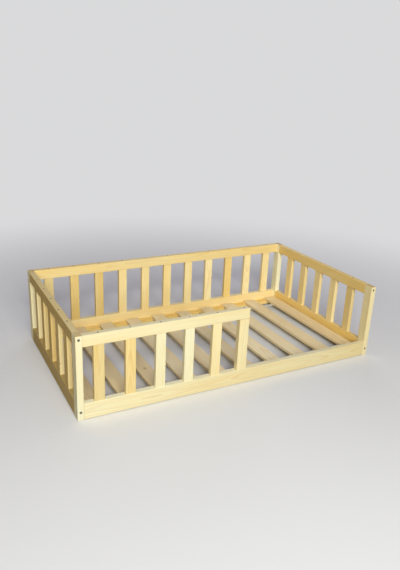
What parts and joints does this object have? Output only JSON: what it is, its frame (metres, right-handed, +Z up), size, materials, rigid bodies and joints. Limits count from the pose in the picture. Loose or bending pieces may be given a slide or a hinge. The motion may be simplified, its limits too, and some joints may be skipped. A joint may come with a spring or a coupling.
{
  "type": "toddler floor bed",
  "caption": "Low slatted pine bed frame for a small child, with rails all round, an open entrance beside a part-length guard, and a loose slat deck on ledgers.",
  "frame": {"origin": "on the floor, under the middle of the bed's outline", "axes": "+X along the bed towards the end beside the entrance, +Y from the guard side to the rear, +Z up"},
  "size_m": [1.37, 0.76, 0.335],
  "materials": {
    "frame_pine": "planed, unvarnished",
    "deck_pine": "planed, unvarnished, a little greyer",
    "screw_steel": "zinc plated, dulled",
    "woven_tape": "plain woven polyester tape"
  },
  "bodies": {
    "root": {"baluster_front_01": "frame_pine", "baluster_front_02": "frame_pine", "baluster_front_03": "frame_pine", "baluster_front_04": "frame_pine", "baluster_front_05": "frame_pine", "baluster_left_01": "frame_pine", "baluster_left_02": "frame_pine", "baluster_left_03": "frame_pine", "baluster_left_04": "frame_pine", "baluster_left_05": "frame_pine", "baluster_rear_01": "frame_pine", "baluster_rear_02": "frame_pine", "baluster_rear_03": "frame_pine", "baluster_rear_04": "frame_pine", "baluster_rear_05": "frame_pine", "baluster_rear_06": "frame_pine", "baluster_rear_07": "frame_pine", "baluster_rear_08": "frame_pine", "baluster_rear_09": "frame_pine", "baluster_rear_10": "frame_pine", "baluster_rear_11": "frame_pine", "baluster_right_01": "frame_pine", "baluster_right_02": "frame_pine", "baluster_right_03": "frame_pine", "baluster_right_04": "frame_pine", "baluster_right_05": "frame_pine", "baluster_screws": "screw_steel", "bottom_rail_front": "frame_pine", "bottom_rail_left": "frame_pine", "bottom_rail_rear": "frame_pine", "bottom_rail_right": "frame_pine", "frame_screws_crosswise": "screw_steel", "frame_screws_lengthwise": "screw_steel", "guard_rail": "frame_pine", "guard_upright": "frame_pine", "ledger_front": "deck_pine", "ledger_rear": "deck_pine", "ledger_screws": "screw_steel", "post_front_left": "frame_pine", "post_front_right": "frame_pine", "post_rear_left": "frame_pine", "post_rear_right": "frame_pine", "slat_01": "deck_pine", "slat_02": "deck_pine", "slat_03": "deck_pine", "slat_04": "deck_pine", "slat_05": "deck_pine", "slat_06": "deck_pine", "slat_07": "deck_pine", "slat_08": "deck_pine", "slat_09": "deck_pine", "slat_10": "deck_pine", "slat_tape_front": "woven_tape", "slat_tape_rear": "woven_tape", "top_rail_left": "frame_pine", "top_rail_rear": "frame_pine", "top_rail_right": "frame_pine"}
  },
  "joints": []
}
